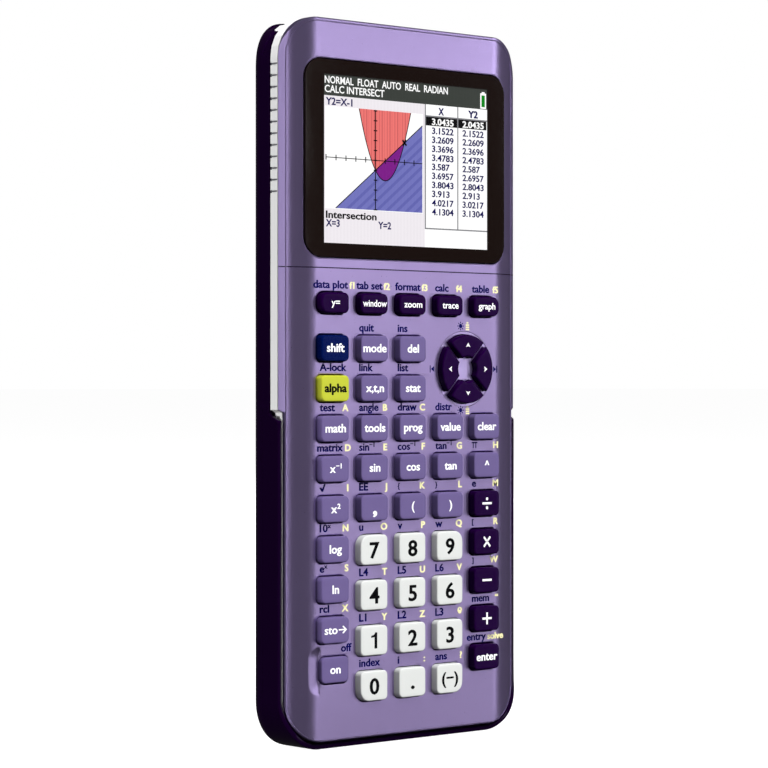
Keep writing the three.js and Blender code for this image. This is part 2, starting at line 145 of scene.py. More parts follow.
NAVY_INK = plastic("navy_ink", srgb(8, 10, 78), 0.5, specular=0.05)
YELLOW_INK = plastic("yellow_ink", srgb(236, 230, 176), 0.5, specular=0.1)
# Dark line on the seam: painted shade of the seam groove, drawn as a thin bead on the cover.
SEAM_SHADE = plastic("seam_shade", srgb(34, 26, 46), 0.7, specular=0.1)
# Grey lines in the grip grooves: painted shade of the grooves.
GRIP_SHADE = plastic("grip_groove_shade", srgb(92, 92, 98), 0.6, specular=0.1)
RUBBER = plastic("dark_rubber", srgb(34, 30, 40), 0.8, grain=0.4)
BOARD_GREEN = plastic("board_green", srgb(24, 84, 50), 0.4, grain=0.2)
BATTERY_WRAP = plastic("battery_wrap", srgb(50, 96, 150), 0.4, grain=0.1)
PANEL_GREY = plastic("panel_grey", srgb(60, 62, 68), 0.4)
STEEL = plastic("brushed_steel", srgb(150, 152, 156), 0.3, grain=0.3, metallic=1.0)


def dress_frame():
    """Materials for the CAD nodes that stay in view."""
    looks = {
        "rear_cover": WHITE_SHELL,
        "battery_door": WHITE_SHELL,
        "battery_door_screw": STEEL,
        "display_module": PANEL_GREY,
        "keypad_mat": RUBBER,
        "main_board": BOARD_GREEN,
        "battery_pack": BATTERY_WRAP,
    }
    for name, material in looks.items():
        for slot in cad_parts[name].material_slots:
            slot.material = material


# ---- mesh helpers -------------------------------------------------------
def make_piece(name, bm, materials, body, replaced=(), sharp=35, weighted=False):
    """Turns bm, in millimetres, into a piece that rides on a body."""
    limit = math.radians(sharp)
    for edge in bm.edges:
        edge.smooth = edge.calc_face_angle(0) < limit
    for face in bm.faces:
        face.smooth = True
    mesh = bpy.data.meshes.new(name)
    bm.to_mesh(mesh)
    bm.free()
    mesh.transform(Matrix.Scale(MM, 4))
    for material in materials:
        mesh.materials.append(material)
    piece = bpy.data.objects.new(name, mesh)
    bpy.context.scene.collection.objects.link(piece)
    if weighted:
        normals = piece.modifiers.new("normals", "WEIGHTED_NORMAL")
        normals.keep_sharp = True
    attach(piece, body)
    if replaced:
        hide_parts(*replaced)
    return piece


def rounded_points(x0, x1, z0, z1, radii, steps=6):
    """Rounded rectangle, anticlockwise from the bottom left; radii are for its four corners."""
    if not isinstance(radii, (list, tuple)):
        radii = [radii] * 4
    centres = [
        (x0 + radii[0], z0 + radii[0], math.pi),
        (x1 - radii[1], z0 + radii[1], 1.5 * math.pi),
        (x1 - radii[2], z1 - radii[2], 0.0),
        (x0 + radii[3], z1 - radii[3], 0.5 * math.pi),
    ]
    points = []
    for (x, z, start), radius in zip(centres, radii):
        for i in range(steps + 1):
            turn = start + 0.5 * math.pi * i / steps
            points.append((x + radius * math.cos(turn), z + radius * math.sin(turn)))
    return points


def circle_points(x, z, radius, steps=64):
    turns = [2 * math.pi * i / steps for i in range(steps)]
    return [(x + radius * math.cos(t), z + radius * math.sin(t)) for t in turns]


def flat_plate(loops, front, thickness, bevel, rings=2):
    """Plate facing -Y with rounded rims: loops[0] is its outline and the others are holes."""
    curve = bpy.data.curves.new("plate", "CURVE")
    curve.dimensions = "2D"
    curve.fill_mode = "BOTH"
    curve.extrude = thickness / 2 - bevel
    curve.bevel_depth = bevel
    curve.bevel_resolution = rings
    curve.offset = -bevel
    for loop in loops:
        spline = curve.splines.new("POLY")
        spline.points.add(len(loop) - 1)
        spline.use_cyclic_u = True
        for point, (x, z) in zip(spline.points, loop):
            point.co = (x, z, 0, 1)
    bm = mesh_of(curve)
    for vert in bm.verts:
        x, z, out = vert.co
        vert.co = (x, front + thickness / 2 - out, z)
    return bm


def mesh_of(curve):
    """Mesh of a curve or text, as a bmesh with its doubles merged."""
    holder = bpy.data.objects.new("holder", curve)
    mesh = holder.to_mesh()
    bm = bmesh.new()
    bm.from_mesh(mesh)
    holder.to_mesh_clear()
    bpy.data.objects.remove(holder)
    bpy.data.curves.remove(curve)
    bmesh.ops.remove_doubles(bm, verts=bm.verts, dist=1e-4)
    return bm


def append(target, source, index=0):
    """Adds bm source to bm target with one material index, and frees it."""
    for face in source.faces:
        face.material_index = index
    mesh = bpy.data.meshes.new("part")
    source.to_mesh(mesh)
    source.free()
    target.from_mesh(mesh)
    bpy.data.meshes.remove(mesh)


def loft(rings, hollow_start=True):
    """Skin over rings of equal length, closed at the last ring and, if asked, at the first."""
    bm = bmesh.new()
    rows = [[bm.verts.new(point) for point in ring] for ring in rings]
    count = len(rows[0])
    for lower, upper in zip(rows, rows[1:]):
        for i in range(count):
            j = (i + 1) % count
            bm.faces.new((lower[i], lower[j], upper[j], upper[i]))
    bm.faces.new(rows[-1])
    if not hollow_start:
        bm.faces.new(list(reversed(rows[0])))
    return bm


def cut_planes(bm, axis, values):
    """Cuts the whole mesh at each value along an axis."""
    normal = Vector((0, 0, 0))
    normal[axis] = 1
    for value in values:
        point = Vector((0, 0, 0))
        point[axis] = value
        geometry = list(bm.verts) + list(bm.edges) + list(bm.faces)
        bmesh.ops.bisect_plane(bm, geom=geometry, plane_co=point, plane_no=normal, dist=1e-5)


def steps_between(start, end, count):
    return [start + (end - start) * i / (count - 1) for i in range(count)]


def smooth_step(value, start, end):
    t = min(1.0, max(0.0, (value - start) / (end - start)))
    return t * t * (3 - 2 * t)


# ---- lettering ----------------------------------------------------------
def letters(text, size, bold=0.018):
    """Upright printed letters, starting at x = 0 on the baseline; a tilde starts a superscript.

    The outline is swelled a little, and heavier strokes come from copies set side by side.
    """
    whole = bmesh.new()
    reach = 0.0
    swell = min(bold, 0.012) if text.isascii() else 0.0
    for i, run in enumerate(text.split("~")):
        scale = (1.0 if i == 0 else 0.62) * size
        curve = bpy.data.curves.new("letters", "FONT")
        curve.body = run
        curve.size = scale
        curve.offset = swell * scale
        curve.extrude = 0.012
        curve.resolution_u = 3
        curve.space_character = 0.98 + 0.6 * bold
        bm = mesh_of(curve)
        lift = 0.0 if i == 0 else 0.34 * size
        bmesh.ops.translate(bm, vec=(reach, lift, 0), verts=bm.verts)
        reach = max((vert.co.x for vert in bm.verts), default=reach) + 0.03 * size
        spread = (bold - swell) * scale
        copies = [(0, 0), (-1, 0), (1, 0), (0, -0.6), (0, 0.6)] if spread > 0 else [(0, 0)]
        for layer, (across, up) in enumerate(copies):
            copy = bm.copy()
            bmesh.ops.translate(copy, vec=(across * spread, up * spread, 0.002 * layer), verts=copy.verts)
            append(whole, copy)
        bm.free()
    return whole


STRETCH = 1.15


def write(target, text, x, y, z, size, index, align=0.5, bold=0.018, width=None, stretch=STRETCH):
    """Puts letters on a face: (x, z) is on the baseline, at the share align of their width."""
    bm = letters(text, size, bold)
    low = min(vert.co.x for vert in bm.verts)
    high = max(vert.co.x for vert in bm.verts)
    if width:
        stretch = width / (high - low)
    for vert in bm.verts:
        across, up, out = vert.co
        shift = (across - low) * stretch - align * (high - low) * stretch
        vert.co = (x + shift, y - out, z + up)
    append(target, bm, index)


# ---- front cover --------------------------------------------------------
# Slope of the front face, in degrees, at distances from its middle.
FALL = [(30.5, 0.0), (34.8, 16.0), (37.3, 16.0), (39.9, 31.0), (39.95, 27.5), (41.4, 27.5)]
STEP_Z = 86.3
NARROW_HALF = 39.9
BODY_CORNER = 10.6


def slope_depth(x):
    """How far the front face falls back towards the long sides."""
    depth = 0.0
    for (start, low), (end, high) in zip(FALL, FALL[1:]):
        span = min(max(abs(x) - start, 0.0), end - start)
        angle = low + (high - low) * span / (2 * (end - start))
        depth += span * math.tan(math.radians(angle))
    return depth


def body_outline(steps=14):
    """Front outline: narrow between the case's tall walls, wider above them."""
    wide = COVER_HIGH.x
    lower = rounded_points(-NARROW_HALF, NARROW_HALF, COVER_LOW.z, 200, BODY_CORNER, steps)
    upper = rounded_points(-wide, wide, 50, COVER_HIGH.z, BODY_CORNER, steps)
    half = 2 * (steps + 1)
    right_step = [(NARROW_HALF, STEP_Z), (wide, STEP_Z + 0.8)]
    left_step = [(-x, z) for x, z in reversed(right_step)]
    return lower[:half] + right_step + upper[half:] + left_step


def key_size(node):
    """Centre, width and height of a key's cap."""
    low, high = corners(node)
    middle = (low + high) / 2
    return middle.x, middle.z, high.x - low.x - 2 * KEY_LIP, high.z - low.z - 2 * KEY_LIP


OPERATORS = ("divide", "multiply", "subtract", "add")
FUNCTION_KEYS = ("f1", "f2", "f3", "f4", "f5")
KEYS = [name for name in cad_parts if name.startswith("key_") and "arrow" not in name]
ARROWS = {
    "key_arrow_right": 0.0,
    "key_arrow_up": 0.5 * math.pi,
    "key_arrow_left": math.pi,
    "key_arrow_down": 1.5 * math.pi,
}
PAD_INNER = 3.4
PAD_OUTER = 9.2
PAD_GAP = 1.1
PAD_X = (corners("key_arrow_up")[0].x + corners("key_arrow_up")[1].x) / 2
PAD_Z = (corners("key_arrow_left")[0].z + corners("key_arrow_left")[1].z) / 2
ON_X, ON_Z = key_size("key_on")[:2]


def key_radii(name):
    """Corner radii of a key cap: bottom left, bottom right, top right, top left."""
    special = {
        "key_f1": [2.2, 1.4, 1.4, 2.2],
        "key_f5": [1.4, 2.2, 2.2, 1.4],
        "key_7": [1.3, 1.3, 1.3, 2.8],
        "key_9": [1.3, 1.3, 2.8, 1.3],
        "key_0": [2.8, 1.3, 1.3, 1.3],
        "key_negative": [1.3, 2.8, 1.3, 1.3],
    }
    if name in special:
        return special[name]
    return [1.5] * 4 if name in ("key_f2", "key_f3", "key_f4") else [1.3] * 4


def key_outline(name, grow, steps=6):
    x, z, width, height = key_size(name)
    radii = [max(0.4, radius + grow) for radius in key_radii(name)]
    half_width = width / 2 + grow
    half_height = height / 2 + grow
    return rounded_points(x - half_width, x + half_width, z - half_height, z + half_height, radii, steps)


SCOOP_VALLEY = ON_X - 4.95
SCOOP_RADIUS = 3.1
SCOOP_STRAIGHT = 6.1
SCOOP_WALL = 0.5
SCOOP_TURN = math.radians(4)


def scoop_depth(x, z):
    """Trough beside the on key: a flat facet that deepens towards the key, with rounded ends."""
    across = SCOOP_VALLEY - x
    along = max(0.0, abs(z - ON_Z) - SCOOP_STRAIGHT / 2)
    if across < 0:
        across *= -SCOOP_RADIUS / SCOOP_WALL
    reach = math.hypot(across, along)
    if reach >= SCOOP_RADIUS:
        return 0.0
    edge = slope_depth(abs(SCOOP_VALLEY) + SCOOP_RADIUS)
    facet = edge + (SCOOP_RADIUS - reach) * math.tan(SCOOP_TURN)
    return max(0.0, facet - slope_depth(abs(SCOOP_VALLEY) + reach))


def cut_scoop_grid(bm):
    """Fine grid over the scoop alone."""
    low = Vector((SCOOP_VALLEY - SCOOP_RADIUS, 0, ON_Z - SCOOP_STRAIGHT / 2 - SCOOP_RADIUS))
    high = Vector((SCOOP_VALLEY + SCOOP_WALL, 0, ON_Z + SCOOP_STRAIGHT / 2 + SCOOP_RADIUS))
    xs = steps_between(low.x, SCOOP_VALLEY, 9) + [high.x]
    end = steps_between(0, SCOOP_RADIUS, 8)
    zs = [ON_Z + side * (SCOOP_STRAIGHT / 2 + step) for side in (-1, 1) for step in end]
    for axis, values in ((0, xs), (2, zs)):
        for value in values:
            faces = []
            for face in bm.faces:
                if face.normal.y > -0.9:
                    continue
                corners_x = [vert.co.x for vert in face.verts]
                corners_z = [vert.co.z for vert in face.verts]
                if min(corners_x) < high.x and max(corners_x) > low.x:
                    if min(corners_z) < high.z and max(corners_z) > low.z:
                        faces.append(face)
            edges = {edge for face in faces for edge in face.edges}
            verts = {vert for face in faces for vert in face.verts}
            point = Vector((value, 0, 0)) if axis == 0 else Vector((0, 0, value))
            normal = Vector((1, 0, 0)) if axis == 0 else Vector((0, 0, 1))
            geometry = list(verts) + list(edges) + faces
            bmesh.ops.bisect_plane(bm, geom=geometry, plane_co=point, plane_no=normal, dist=1e-5)


def front_cover():
    lens = rounded_points(LENS_LOW.x - 0.3, LENS_HIGH.x + 0.3, LENS_LOW.z - 0.3, LENS_HIGH.z + 0.3, 5.2, 12)
    well = circle_points(PAD_X, PAD_Z, PAD_OUTER + 0.8)
    holes = [key_outline(name, 0.28) for name in KEYS]
    bm = flat_plate([body_outline(), lens, well, *holes], 0, COVER_DEPTH, 0.3, 3)
    edges = [30.3] + steps_between(30.5, 34.8, 7) + [36.2, 37.3, 38.0, 38.6, 39.2, 39.9, 40.2]
    cut_planes(bm, 0, edges + [-x for x in edges])
    bm.normal_update()
    cut_scoop_grid(bm)
    for vert in bm.verts:
        x, depth, z = vert.co
        fall = slope_depth(x)
        if depth < 1.5:
            fall += scoop_depth(x, z)
        vert.co.y = FRONT + depth + fall * (1 - depth / COVER_DEPTH)
    make_piece("front_cover_skin", bm, [LAVENDER], "housing", ["front_cover"], 15, True)


def arrow_points(angle, inset, steps=14):
    """Quarter of the arrow pad's ring, anticlockwise, drawn in by inset."""
    inner = PAD_INNER + inset
    outer = PAD_OUTER - inset
    margin = PAD_GAP / 2 + 0.2 + inset
    inner_sweep = math.pi / 4 - math.asin(margin / inner)
    outer_sweep = math.pi / 4 - math.asin(margin / outer)
    points = []
    for t in steps_between(-1, 1, steps):
        turn = angle + t * outer_sweep
        points.append((PAD_X + outer * math.cos(turn), PAD_Z + outer * math.sin(turn)))
    for t in steps_between(1, -1, steps):
        turn = angle + t * inner_sweep
        points.append((PAD_X + inner * math.cos(turn), PAD_Z + inner * math.sin(turn)))
    return points


def arrow_well():
    """Recessed plate round the arrow keys, with its hub and ribs, in a lighter copy of the cover's lavender:
    painted light against the shade of the keys round it.
    """
    loops = [circle_points(PAD_X, PAD_Z, PAD_OUTER + 1.1)]
    loops += [arrow_points(angle, -0.14) for angle in ARROWS.values()]
    bm = flat_plate(loops, FRONT + 0.15, 1.2, 0.1, 2)
    make_piece("arrow_well", bm, [LAVENDER_WELL_PAINTED_LIGHT], "housing", sharp=40, weighted=True)


def bead(name, points, radius, material, closed=True):
    """Thin round ridge through a row of points on the front, each one (x, depth, z)."""
    bm = bmesh.new()
    rings = []
    count = len(points)
    for i, point in enumerate(points):
        last = points[i - 1] if closed or i else points[0]
        following = points[(i + 1) % count] if closed or i < count - 1 else points[-1]
        along = (Vector(following) - Vector(last)).normalized()
        out = along.cross(Vector((0, -1, 0))).normalized()
        turns = [math.pi * j / 4 for j in range(8)]
        ring = [Vector(point) + radius * (out * math.cos(t) + Vector((0, math.sin(t), 0))) for t in turns]
        rings.append([bm.verts.new(place) for place in ring])
    pairs = list(zip(rings, rings[1:] + rings[:1])) if closed else list(zip(rings, rings[1:]))
    for here, there in pairs:
        for i in range(8):
            j = (i + 1) % 8
            bm.faces.new((here[i], here[j], there[j], there[i]))
    bmesh.ops.recalc_face_normals(bm, faces=bm.faces)
    make_piece(name, bm, [material], "housing", sharp=80)


def edge_lines():
    """Fine ridges where the front meets the sides and round the glass, and a dark bead on the seam line that is
    painted shade of the seam groove.
    """
    half = NARROW_HALF - 0.25
    lower = rounded_points(-half, half, COVER_LOW.z + 0.4, 200, BODY_CORNER - 0.3, 14)
    upper = rounded_points(-half, half, 50, COVER_HIGH.z - 0.9, BODY_CORNER - 1.5, 14)
    outline = lower[:30] + upper[30:]
    bead("cover_edge_line", [(x, FRONT + slope_depth(x), z) for x, z in outline], 0.16, LAVENDER)
    rim = rounded_points(LENS_LOW.x - 0.35, LENS_HIGH.x + 0.35, LENS_LOW.z - 0.35, LENS_HIGH.z + 0.35, 5.3, 12)
    # The dark seam bead is painted shade of the seam groove.
    seam = [(x, FRONT + slope_depth(x) + 0.1, SEAM_Z) for x in steps_between(-41.3, 41.3, 60)]
    bead("seam_shade", seam, 0.18, SEAM_SHADE, closed=False)
    bead("lens_rim", [(x, FRONT + slope_depth(x) + 0.02, z) for x, z in rim], 0.13, LAVENDER)


# Grip grooves across the white band: the height of the top one and the step between them.
GRIP_TOP = 175.0
GRIP_STEP = 2.95
GRIP_COUNT = 12
GRIP_WIDTH = 0.34


def grip_lines():
    """Dark lines in the grooves on both sides of the band: painted shade of the grooves."""
    bm = bmesh.new()
    for side in (-1, 1):
        for i in range(GRIP_COUNT):
            z = GRIP_TOP - GRIP_STEP * i
            front = FRONT + 3.45
            back = FRONT + 6.25
            outline = [(front, 0), (front + 0.2, 0.5), (back - 0.2, 0.5), (back, 0), (back - 0.2, -0.5), (front + 0.2, -0.5)]
            x = side * (REAR_HIGH.x + 0.02)
            verts = [bm.verts.new((x, y, z + share * GRIP_WIDTH)) for y, share in outline]
            bm.faces.new(verts if side < 0 else list(reversed(verts)))
    make_piece("grip_lines", bm, [GRIP_SHADE], "housing")


# Screws in the seats on the calculator's back.
SCREW_PLACES = [(x, z) for z in (15, 90, 172) for x in (-27, 27)]


def screw_heads():
    bm = bmesh.new()
    back = REAR_HIGH.y - 0.15
    for x, z in SCREW_PLACES:
        half, wing = 0.22, 1.15
        cross = [(half, half), (wing, half), (wing, -half), (half, -half), (half, -wing), (-half, -wing),
                 (-half, -half), (-wing, -half), (-wing, half), (-half, half), (-half, wing), (half, wing)]
        recess = [(x + u, z + v) for u, v in cross]
        head = flat_plate([circle_points(x, z, 2.1, 32), recess], 0.0, 0.7, 0.12, 2)
        # The dark rubber disc at the bottom of each cross recess is painted shade in the recess.
        floor = flat_plate([circle_points(x, z, 1.6, 16)], 0.55, 0.12, 0.02, 1)
        append(bm, head)
        append(bm, floor, 1)
    for vert in bm.verts:
        vert.co.y = back - vert.co.y
    bmesh.ops.reverse_faces(bm, faces=bm.faces)
    make_piece("housing_screw_heads", bm, [STEEL, RUBBER], "housing", sharp=30, weighted=True)


# ---- keys ---------------------------------------------------------------
def cap_rings(radius):
    """How far each ring of a cap is drawn in, and its depth behind the top: sides, then rounded edge."""
    rings = [(0.0, 3.9)]
    for i in range(6):
        turn = 0.5 * math.pi * i / 5
        rings.append((radius * (1 - math.cos(turn)), radius * (1 - math.sin(turn))))
    return rings


def cap(outline_at, top, radius):
    """Key cap from an outline function; its top is dished very slightly."""
    skirt = COVER_HIGH.y - 0.3 - top
    rings = [[(x, top + min(depth, skirt), z) for x, z in outline_at(-inset)] for inset, depth in cap_rings(radius)]
    rings.append([(x, top + 0.015, z) for x, z in outline_at(-1.25)])
    return loft(rings)


def key_colours(name):
    """Cap material, ink material and record slot of a key."""
    label = name[4:]
    if name == "key_shift":
        return BLUE_KEY, WHITE_INK, "key_blue"
    if name == "key_alpha":
        return YELLOW_KEY, BLACK_INK, "key_yellow"
    if label.isdigit() or label in ("point", "negative"):
        return WHITE_KEY, BLACK_INK, "keys_white"
    dark = ("f1", "f2", "f3", "f4", "f5", "divide", "multiply", "subtract", "add", "enter")
    if label in dark or "arrow" in label:
        return DARK_KEY, WHITE_INK, "keys_dark"
    return LAVENDER_KEY, WHITE_INK, "keys_lavender"


# Printing on and above each key: the cap, then the second and the letter function on the cover.
LEGENDS = {
    "key_f1": ("y=", "data plot", "f1"),
    "key_f2": ("window", "tab set", "f2"),
    "key_f3": ("zoom", "format", "f3"),
    "key_f4": ("trace", "calc", "f4"),
    "key_f5": ("graph", "table", "f5"),
    "key_shift": ("shift", "", ""),
    "key_mode": ("mode", "quit", ""),
    "key_delete": ("del", "ins", ""),
    "key_alpha": ("alpha", "A-lock", ""),
    "key_variable": ("x,t,n", "link", ""),
    "key_list": ("stat", "list", ""),
    "key_math": ("math", "test", "A"),
    "key_tools": ("tools", "angle", "B"),
    "key_program": ("prog", "draw", "C"),
    "key_values": ("value", "distr", ""),
    "key_clear": ("clear", "", ""),
    "key_reciprocal": ("x~−1", "matrix", "D"),
    "key_sine": ("sin", "sin~−1", "E"),
    "key_cosine": ("cos", "cos~−1", "F"),
    "key_tangent": ("tan", "tan~−1", "G"),
    "key_power": ("^", "π", "H"),
    "key_square": ("x~2", "√", "I"),
    "key_comma": (",", "EE", "J"),
    "key_open_bracket": ("(", "{", "K"),
    "key_close_bracket": (")", "}", "L"),
    "key_divide": ("÷", "e", "M"),
    "key_log": ("log", "10~x", "N"),
    "key_7": ("7", "u", "O"),
    "key_8": ("8", "v", "P"),
    "key_9": ("9", "w", "Q"),
    "key_multiply": ("×", "[", "R"),
    "key_natural_log": ("ln", "e~x", "S"),
    "key_4": ("4", "L4", "T"),
    "key_5": ("5", "L5", "U"),
    "key_6": ("6", "L6", "V"),
    "key_subtract": ("−", "]", "W"),
    "key_store": ("sto→", "rcl", "X"),
    "key_1": ("1", "L1", "Y"),
    "key_2": ("2", "L2", "Z"),
    "key_3": ("3", "L3", "θ"),
    "key_add": ("+", "mem", "“"),
    "key_on": ("on", "off", ""),
    "key_0": ("0", "index", ""),
    "key_point": (".", "i", ":"),
    "key_negative": ("(−)", "ans", "?"),
    "key_enter": ("enter", "entry", "solve"),
}


def cap_text_size(name):
    """Font size and boldness of the printing on a cap."""
    label = name[4:]
    if label.isdigit():
        return 5.8, 0.03
    if label in ("point", "comma"):
        return 5.4, 0.05
    if label in ("open_bracket", "close_bracket", "power"):
        return 3.1, 0.02
    if label == "negative":
        return 4.4, 0.03
    return (2.45, 0.016) if label in FUNCTION_KEYS else (3.05, 0.026)


def bar(target, x, z, y, length, thickness, angle=0.0, index=1):
    """Printed straight stroke centred at (x, z)."""
    along = Vector((math.cos(angle), math.sin(angle))) * length / 2
    across = Vector((-math.sin(angle), math.cos(angle))) * thickness / 2
    points = [(x + p.x, z + p.y) for p in (-along - across, along - across, along + across, across - along)]
    append(target, flat_plate([points], y - 0.012, 0.024, 0.0), index)


def operator_sign(target, label, x, z, y):
    """Plus, minus, times and divide signs drawn from strokes and dots."""
    if label == "multiply":
        for angle in (0.27 * math.pi, -0.27 * math.pi):
            bar(target, x, z, y, 3.5, 0.56, angle)
        return
    bar(target, x, z, y, 3.4, 0.56)
    if label == "add":
        bar(target, x, z, y + 0.002, 0.56, 3.2)
    if label == "divide":
        for side in (-1, 1):
            dot = circle_points(x, z + side * 1.2, 0.42, 16)
            append(target, flat_plate([dot], y - 0.012, 0.024, 0.0), 1)


ONE = [(0.37, 0), (0.51, 0), (0.51, 0.72), (0.4, 0.72), (0.37, 0.65), (0.3, 0.6), (0.2, 0.58), (0.2, 0.49), (0.37, 0.51)]


def make_key(name):
    x, z, width, height = key_size(name)
    top = corners(name)[0].y
    cap_material, ink, slot = key_colours(name)
    bm = cap(lambda grow: key_outline(name, grow), top, 0.5 if name[4:] in FUNCTION_KEYS else 0.35)
    text = LEGENDS[name][0]
    size, bold = cap_text_size(name)
    if name == "key_alpha":
        bold = 0.045
    if name[4:] in OPERATORS:
        operator_sign(bm, name[4:], x, z, top + 0.004)
    elif text == "1":
        points = [(x + (u - 0.37) * size * STRETCH, z + (v - 0.36) * size) for u, v in ONE]
        append(bm, flat_plate([points], top - 0.008, 0.024, 0.0), 1)
    else:
        rise = 0.36 if text.isdigit() else 0.3
        write(bm, text, x, top + 0.005, z - rise * size, size, 1, bold=bold)
        squeeze_ink(bm, x, width - 1.1)
    make_piece(name + "_cap", bm, [cap_material, ink], name, [name], 50)


def squeeze_ink(bm, x, limit):
    """Narrows printing that is wider than its cap allows."""
    printed = {vert for face in bm.faces if face.material_index == 1 for vert in face.verts}
    reach = max(abs(vert.co.x - x) for vert in printed)
    if reach > limit / 2:
        for vert in printed:
            vert.co.x = x + (vert.co.x - x) * limit / 2 / reach


def make_arrow_key(name, angle):
    top = corners(name)[0].y
    bm = cap(lambda grow: arrow_points(angle, -grow), top, 0.4)
    mark = [(5.9, -0.75), (7.0, 0.0), (5.9, 0.75), (6.15, 0.0)]
    turned = [
        (PAD_X + u * math.cos(angle) - v * math.sin(angle), PAD_Z + u * math.sin(angle) + v * math.cos(angle))
        for u, v in mark
    ]
    append(bm, flat_plate([turned], top - 0.012, 0.03, 0.0), 1)
    make_piece(name + "_cap", bm, [DARK_KEY, WHITE_INK], name, [name], 50)


# How far a label starts left of its key's left side and ends right of its right side.
LABEL_LEAD = -0.85
LABEL_TAIL = 1.4


def text_width(text, size):
    if not text:
        return 0.0
    bm = letters(text, size, 0.04)
    reach = max(vert.co.x for vert in bm.verts) * STRETCH
    bm.free()
    return reach


def pi_sign(target, x, z, y):
    bar(target, x, z + 1.5, y, 2.1, 0.36, 0.0, 0)
    for side in (-1, 1):
        bar(target, x + side * 0.48, z + 0.75, y + 0.002, 0.34, 1.5, 0.0, 0)


def brightness_symbols(target, z, y):
    """Sun and battery stack beside the arrow pad."""
    sun = PAD_X - 1.2
    append(target, flat_plate([circle_points(sun, z, 0.6, 16)], y - 0.012, 0.024, 0.0), 0)
    for i in range(8):
        turn = 0.25 * math.pi * i
        bar(target, sun + 0.95 * math.cos(turn), z + 0.95 * math.sin(turn), y, 0.45, 0.26, turn, 0)
    for i in range(4):
        bar(target, PAD_X + 1.3, z - 0.9 + 0.6 * i, y, 1.3 - 0.6 * (i == 3), 0.4)


def printed_labels():
    """Second functions in navy and letters in pale yellow, printed on the cover."""
    bm = bmesh.new()
    y = FRONT + 0.004
    for name in KEYS:
        x, z, width, height = key_size(name)
        second, letter = LEGENDS[name][1:]
        baseline = z + height / 2 + 1.15
        spare = width + LABEL_LEAD + LABEL_TAIL - text_width(second, 2.75) - text_width(letter, 2.45) - 0.7
        overrun = max(0.0, -spare) / 2 if second and letter else 0.0
        if letter:
            end = x + width / 2 + LABEL_TAIL + overrun
            write(bm, letter, end, y, baseline, 2.45, 1, 1.0, 0.05)
        if second:
            start = x - width / 2 + (width - 2.1 if name == "key_on" else -LABEL_LEAD - overrun)
            if second == "π":
                pi_sign(bm, start + 1.0, baseline, y)
                continue
            bracket = second in "[]{}"
            write(bm, second, start, y, baseline + 0.25 * bracket, 1.9 if bracket else 2.8, 0, 0.0, 0.04)
    for side in (-1, 1):
        tip = PAD_X + side * 11.9
        arrow = [(tip, PAD_Z), (tip - side * 1.1, PAD_Z + 0.8), (tip - side * 1.1, PAD_Z - 0.8)]
        append(bm, flat_plate([arrow], y - 0.012, 0.024, 0.0), 0)
        stop = rounded_points(*sorted((tip + side * 0.15, tip + side * 0.45)), PAD_Z - 0.95, PAD_Z + 0.95, 0.05, 1)
        append(bm, flat_plate([stop], y - 0.012, 0.024, 0.0), 0)
    brightness_symbols(bm, PAD_Z + 11.5, y)
    brightness_symbols(bm, PAD_Z - 11.0, y)
    make_piece("printed_labels", bm, [NAVY_INK, YELLOW_INK], "housing")


# ---- display ------------------------------------------------------------
SCREEN_WIDTH = 57.6
SCREEN_HEIGHT = 43.2
SCREEN_Z = (LENS_LOW.z + LENS_HIGH.z) / 2 - 0.1
PIXEL = 0.18


def display_lens():
    """Black glass with the clear window in its middle."""
    outline = rounded_points(LENS_LOW.x, LENS_HIGH.x, LENS_LOW.z, LENS_HIGH.z, 5.0, 12)
    half_w = SCREEN_WIDTH / 2
    half_h = SCREEN_HEIGHT / 2
    window = [(-half_w, SCREEN_Z - half_h), (half_w, SCREEN_Z - half_h),
              (half_w, SCREEN_Z + half_h), (-half_w, SCREEN_Z + half_h)]
    bm = flat_plate([outline, window], LENS_LOW.y, LENS_HIGH.y - LENS_LOW.y, 0.12, 2)
    make_piece("lens_glass", bm, [LENS_BLACK], "housing", ["display_lens"], 40, True)


SCREEN_COLOURS = {
    "bar": (58, 62, 58),
    "grey": (234, 229, 234),
    "white": (255, 255, 255),
    "rule": (128, 128, 132),
    "ink": (22, 18, 84),
    "black": (8, 8, 10),
    "red": (232, 116, 112),
    "red_stripe": (205, 96, 96),
    "blue": (112, 114, 184),
    "blue_stripe": (98, 100, 172),
    "purple": (122, 30, 132),
    "green": (0, 128, 22),
}


class Screen:
    """Flat coloured areas of the lit picture, in display pixels from its top left corner."""

    def __init__(self):
        self.bm = bmesh.new()
        self.names = list(SCREEN_COLOURS)

    def place(self, column, row, layer):
        x = column * PIXEL - SCREEN_WIDTH / 2
        z = SCREEN_Z + SCREEN_HEIGHT / 2 - row * PIXEL
        return (x, LENS_LOW.y + 0.3 - 0.012 * layer, z)

    def area(self, points, colour, layer):
        """Polygon, given clockwise on the picture."""
        verts = [self.bm.verts.new(self.place(column, row, layer)) for column, row in points]
        face = self.bm.faces.new(verts)
        face.material_index = self.names.index(colour)
        face.normal_update()
        if face.normal.y > 0:
            face.normal_flip()

    def box(self, left, top, right, bottom, colour, layer):
        self.area([(left, top), (right, top), (right, bottom), (left, bottom)], colour, layer)

    def stroke(self, points, thickness, colour, layer):
        """Line of even thickness through a row of points."""
        for start, end in zip(points, points[1:]):
            along = Vector(end) - Vector(start)
            side = Vector((-along.y, along.x)).normalized() * thickness / 2
            corners_2d = [Vector(start) + side, Vector(start) - side, Vector(end) - side, Vector(end) + side]
            self.area(corners_2d, colour, layer)

    def text(self, body, column, row, width, colour, layer, height=10.5, bold=0.03):
        """Text with its top left corner at a pixel, stretched to a width."""
        x, y, z = self.place(column, row + height, layer)
        size = height * PIXEL / 0.72
        write(self.bm, body, x, y, z, size, self.names.index(colour), 0.0, bold, width * PIXEL)


